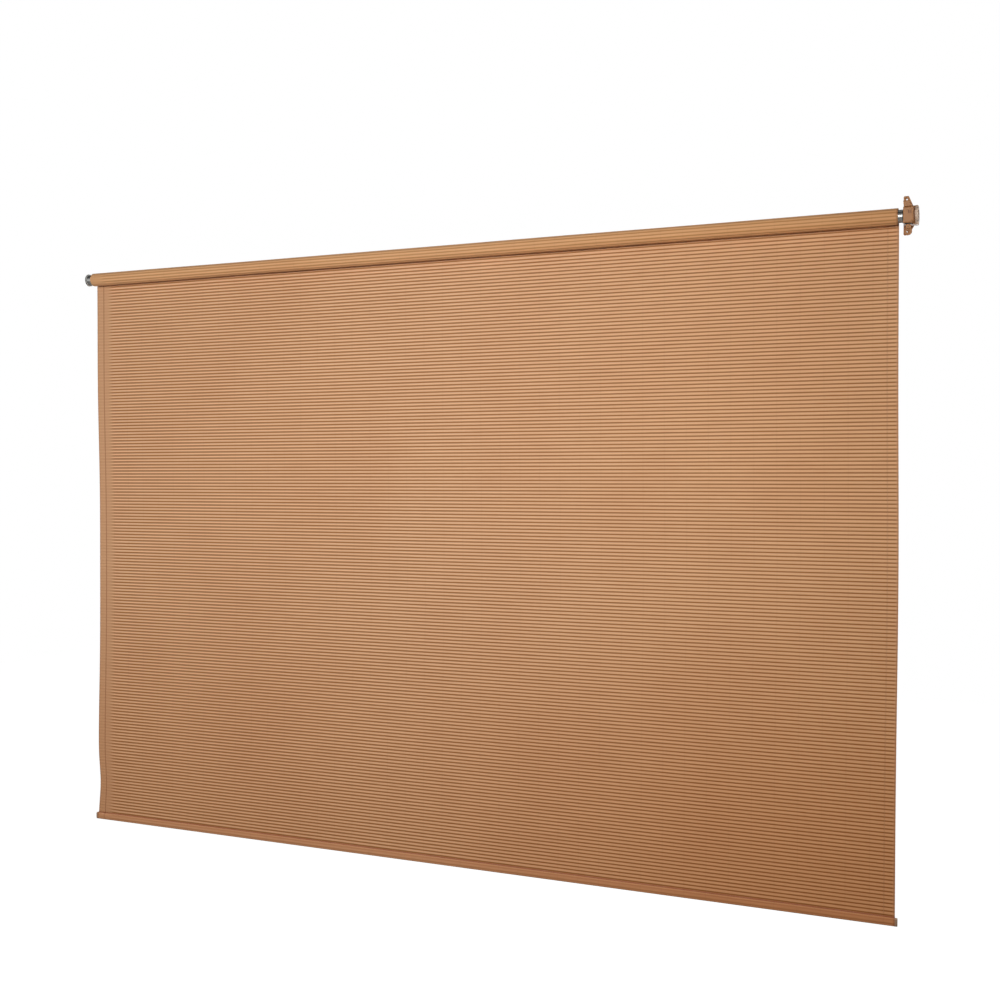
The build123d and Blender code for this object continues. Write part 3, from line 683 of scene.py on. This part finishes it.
def lay_floor():
    """White where the camera looks at it, dim in reflections, and plain paint for the light on the object."""
    made = bpy.data.materials.new("pale studio floor")
    made.use_nodes = True
    tree = made.node_tree
    tree.nodes.remove(tree.nodes["Principled BSDF"])
    path = add_node(tree, "LightPath").outputs
    seen = add_node(tree, "MapRange", {"Value": path["Is Camera Ray"], "To Max": floor_seen})
    level = add_node(tree, "MapRange", {"Value": path["Is Glossy Ray"], "To Min": seen,
                                        "To Max": floor_mirrored})
    paint = add_node(tree, "BsdfDiffuse", {"Color": floor_paint})
    glow = add_node(tree, "Emission", {"Strength": level})
    feed(tree.nodes["Material Output"], {"Surface": add_node(tree, "AddShader", {0: paint, 1: glow})})
    height = cad_box[0].z - floor_drop
    middle = (sheet_left + sheet_right) / 2
    corners = [(middle + i * floor_half, j * floor_half, height)
               for i, j in ((-1, -1), (1, -1), (1, 1), (-1, 1))]
    mesh = bpy.data.meshes.new("studio_floor")
    mesh.from_pydata(corners, [], [(0, 1, 2, 3)])
    mesh.materials.append(made)
    floor = bpy.data.objects.new("studio_floor", mesh)
    bpy.context.scene.collection.objects.link(floor)


def light_room():
    """White behind the object, bright walls and a dark ceiling in reflections, weak light on the object."""
    world = bpy.data.worlds.new("white studio")
    world.use_nodes = True
    bpy.context.scene.world = world
    tree = world.node_tree
    path = add_node(tree, "LightPath").outputs
    height = add_node(tree, "SeparateXYZ", {"Vector": add_node(tree, "TexCoord").outputs["Generated"]})
    wall = add_node(tree, "MapRange", {"Value": height.outputs["Z"], "From Min": 0.15, "From Max": 0.6,
                                       "To Min": 1.0, "To Max": ceiling_mirrored},
                    interpolation_type="SMOOTHSTEP")
    seen = add_node(tree, "MapRange", {"Value": path["Is Camera Ray"], "To Min": room_light, "To Max": 1.0})
    level = add_node(tree, "MapRange", {"Value": path["Is Glossy Ray"], "To Min": seen, "To Max": wall})
    feed(tree.nodes["Background"], {"Color": linear("FFFFFF"), "Strength": level})


def hang_softbox(name, power, size, place, aim):
    lamp = bpy.data.lights.new(name, "AREA")
    lamp.shape = "RECTANGLE"
    lamp.size, lamp.size_y = size
    lamp.energy = power
    softbox = bpy.data.objects.new(name, lamp)
    softbox.location = place
    softbox.rotation_euler = (aim - place).to_track_quat("-Z", "Y").to_euler()
    softbox.visible_camera = False
    bpy.context.scene.collection.objects.link(softbox)


lay_floor()
light_room()
hang_softbox("front softbox", softbox_power, softbox_size, softbox_place, softbox_aim)
hang_softbox("back softbox", back_power, back_size, back_place, back_aim)
hang_softbox("top softbox", top_power, top_size, top_place, top_aim)
right_end = Vector((cad_box[1].x, 0.0, side_height))
left_end = Vector((cad_box[0].x, 0.0, side_height))
hang_softbox("right softbox", side_power, side_size, right_end + side_distance, right_end)
hang_softbox("left softbox", side_power, side_size, left_end - side_distance, left_end)


# Camera: level with the middle of the sheet, to the right of the crank, turned to the left.
# The picture is square, and the focal length is in pixels of a picture 1000 wide.
picture_width = 1000
focal_pixels = 1238.1
sensor_width = 36.0
camera_place = (0.2678, -3.1587, -0.6396)
camera_turn = 0.4023
camera_dip = 0.0137
camera_roll = 0.0018

lens = bpy.data.cameras.new("camera")
lens.sensor_width = sensor_width
lens.lens = focal_pixels * sensor_width / picture_width
camera = bpy.data.objects.new("camera", lens)
camera.location = camera_place
camera.rotation_euler = (Matrix.Rotation(camera_turn, 3, "Z")
                         @ Matrix.Rotation(math.pi / 2 - camera_dip, 3, "X")
                         @ Matrix.Rotation(camera_roll, 3, "Z")).to_euler()
bpy.context.scene.collection.objects.link(camera)
bpy.context.scene.camera = camera
bpy.context.scene.view_settings.view_transform = "Standard"
